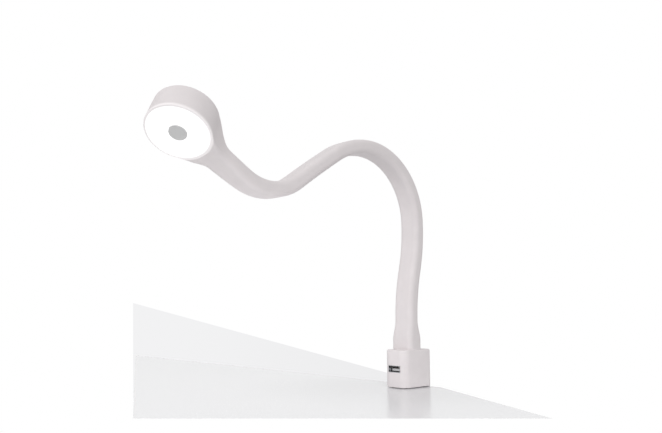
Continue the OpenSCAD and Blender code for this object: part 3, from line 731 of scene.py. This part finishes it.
# Corners of the panel past the table. Its colour changes with the distance from the last one
PANEL = [(-2.396, 0.953, 0.093), (-2.384, 0.966, -0.32), (-1.515, 1.893, -0.33), (-1.515, 1.893, -0.254)]


def seen_as_plain(tree, rays, real, plain):
    """A shader that shows as a plain one to some kinds of ray, and as the real one to the rest."""
    light = tree.nodes.new("ShaderNodeLightPath")
    seen = light.outputs[rays[0]]
    for name in rays[1:]:
        either = tree.nodes.new("ShaderNodeMath")
        either.operation = "MAXIMUM"
        tree.links.new(seen, either.inputs[0])
        tree.links.new(light.outputs[name], either.inputs[1])
        seen = either.outputs["Value"]
    mix = tree.nodes.new("ShaderNodeMixShader")
    tree.links.new(seen, mix.inputs["Fac"])
    tree.links.new(real, mix.inputs[1])
    tree.links.new(plain, mix.inputs[2])
    return mix.outputs["Shader"]


def plain_to_camera(name, seen_as):
    """A pale surface that the camera and mirrors see as one plain colour, whatever light falls on it."""
    material, tree, shader = new_material(name)
    shader.inputs["Base Color"].default_value = PALE
    shader.inputs["Roughness"].default_value = 0.5
    glow = tree.nodes.new("ShaderNodeEmission")
    glow.inputs["Color"].default_value = seen_as
    shown = seen_as_plain(tree, ("Is Camera Ray", "Is Glossy Ray"),
                          shader.outputs["BSDF"], glow.outputs["Emission"])
    tree.links.new(shown, tree.nodes["Material Output"].inputs["Surface"])
    return material


def fade(material, near, far, near_colour, far_colour, socket):
    """Changes the colour of a flat piece with the distance from the origin of its own coordinates."""
    tree = material.node_tree
    share = ranged(tree, distance(tree, (0, 0, 0)), near, far, 0, 1, "SMOOTHSTEP")
    blend = tree.nodes.new("ShaderNodeMix")
    blend.data_type = "RGBA"
    blend.inputs["A"].default_value = near_colour
    blend.inputs["B"].default_value = far_colour
    tree.links.new(share, blend.inputs["Factor"])
    tree.links.new(blend.outputs["Result"], socket)


def table_material():
    """Glossy and pale, with painted shade that makes it a little darker round the lamp's base."""
    material = surface("table_top", linear(236, 236, 238), 0.22, 1200, 0.0003 * MM, 0.003)
    shader = shader_of(material)
    shader.inputs["IOR"].default_value = 1.8
    # Painted shade: the table's colour is darker near the lamp's base and lighter further off
    fade(material, 0.03, 0.16, linear(235, 235, 237), linear(249, 249, 251), shader.inputs["Base Color"])
    return material


def table_top():
    """The slab that the lamp is clamped to, with the clamp's jaw under its far edge."""
    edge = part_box("base_housing")[1][1] - BRACKET_T - EDGE_GAP
    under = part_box("pad_rubber")[1][2]
    far_right = (TABLE_NEAR.x - (edge - TABLE_NEAR.y) * RIGHT_SLANT, edge)
    far_left = (TABLE_LEFT.x - (edge - TABLE_LEFT.y) * LEFT_SLANT, edge)
    corners = [far_left, tuple(TABLE_LEFT), tuple(TABLE_NEAR), far_right]
    points = [(x, y, z) for z in (under, 0) for x, y in corners]
    count = len(corners)
    sides = [(i, (i + 1) % count, (i + 1) % count + count, i + count) for i in range(count)]
    mesh = bpy.data.meshes.new("table_top")
    mesh.from_pydata(points, [], [tuple(reversed(range(count))), tuple(range(count, 2 * count))] + sides)
    slab = mesh_object("table_top", mesh, table_material(), plain_to_camera("table_edge", WHITE))
    for face in mesh.polygons:
        if abs(face.normal.z) < 0.5 and face.normal.y < 0.9:
            face.material_index = 1


def far_panel():
    """A pale panel that stands past the table's far edge and slopes down beside the lamp."""
    mesh = bpy.data.meshes.new("far_panel")
    middle = Vector(PANEL[-1])
    mesh.from_pydata([Vector(corner) - middle for corner in PANEL], [], [tuple(range(len(PANEL)))])
    paint = plain_to_camera("far_panel", PALE)
    glow = paint.node_tree.nodes["Emission"]
    fade(paint, 0.0, 1.2, linear(237, 237, 238), linear(242, 242, 243), glow.inputs["Color"])
    panel = mesh_object("far_panel", mesh, paint)
    panel.location = middle


def surround():
    """An even white world, dimmer from below, which the camera, mirrors and glass show as plain white."""
    world = bpy.data.worlds.new("studio")
    bpy.context.scene.world = world
    world.use_nodes = True
    tree = world.node_tree
    where = tree.nodes.new("ShaderNodeTexCoord")
    split = tree.nodes.new("ShaderNodeSeparateXYZ")
    tree.links.new(where.outputs["Generated"], split.inputs["Vector"])
    light = tree.nodes["Background"]
    light.inputs["Color"].default_value = WHITE
    strength = ranged(tree, split.outputs["Z"], -0.6, 0.8, 0.34, 0.6)
    tree.links.new(strength, light.inputs["Strength"])
    backdrop = tree.nodes.new("ShaderNodeBackground")
    backdrop.inputs["Color"].default_value = WHITE
    shown = seen_as_plain(tree, ("Is Camera Ray", "Is Glossy Ray", "Is Transmission Ray"),
                          light.outputs["Background"], backdrop.outputs["Background"])
    tree.links.new(shown, tree.nodes["World Output"].inputs["Surface"])


def studio_light():
    """The white surround, two broad soft lamps in front, and a small one that shines up at the head."""
    surround()
    middle = Vector((0, -0.08, 0.12))
    soft_lamp("key", middle, Vector((-0.45, -0.65, 0.61)), reach=1.7, size=1.2, power=4.6)
    soft_lamp("fill", middle, Vector((0.75, -0.6, 0.28)), reach=1.9, size=1.4, power=14.5)
    above = Vector((lit_middle.x, lit_middle.y + 0.03, 0.204))
    soft_lamp("light_thrown_back_by_the_table", above, Vector((0, 0, -1)), reach=0.2, size=0.22,
              power=0.12)


def soft_lamp(name, aim, side, reach, size, power):
    """A round lamp that stands to one side of what it shines on, and doesn't show itself."""
    lamp = bpy.data.lights.new(name, "AREA")
    lamp.shape = "DISK"
    lamp.size = size
    lamp.energy = power
    holder = bpy.data.objects.new(name, lamp)
    holder.location = aim + side.normalized() * reach
    holder.rotation_euler = (-side).to_track_quat("-Z", "Y").to_euler()
    holder.visible_camera = False
    holder.visible_glossy = False
    bpy.context.scene.collection.objects.link(holder)


def camera():
    """Low in front of the table's near side, looking a little upwards."""
    lens = bpy.data.cameras.new("camera")
    lens.sensor_width = 36
    lens.lens = 36.57
    lens.clip_start = 0.01
    holder = bpy.data.objects.new("camera", lens)
    holder.location = (0.3913, -0.4599, 0.0669)
    look = Vector((-0.7226, 0.6776, 0.1362))
    holder.rotation_euler = look.to_track_quat("-Z", "Y").to_euler()
    bpy.context.scene.collection.objects.link(holder)
    bpy.context.scene.camera = holder


# ---- Scene ----

def build():
    """The camera first, then the lamp, the stage and the light."""
    camera()
    finish = all_materials()
    dress_nodes(finish)
    skin_pieces(finish["white_silicone"], finish["glow_painted_shell"])
    threaded_rod(finish)
    bracket_screw_pair(finish)
    usb_contacts(finish)
    table_top()
    far_panel()
    studio_light()
    bpy.context.scene.view_settings.view_transform = "Standard"


build()
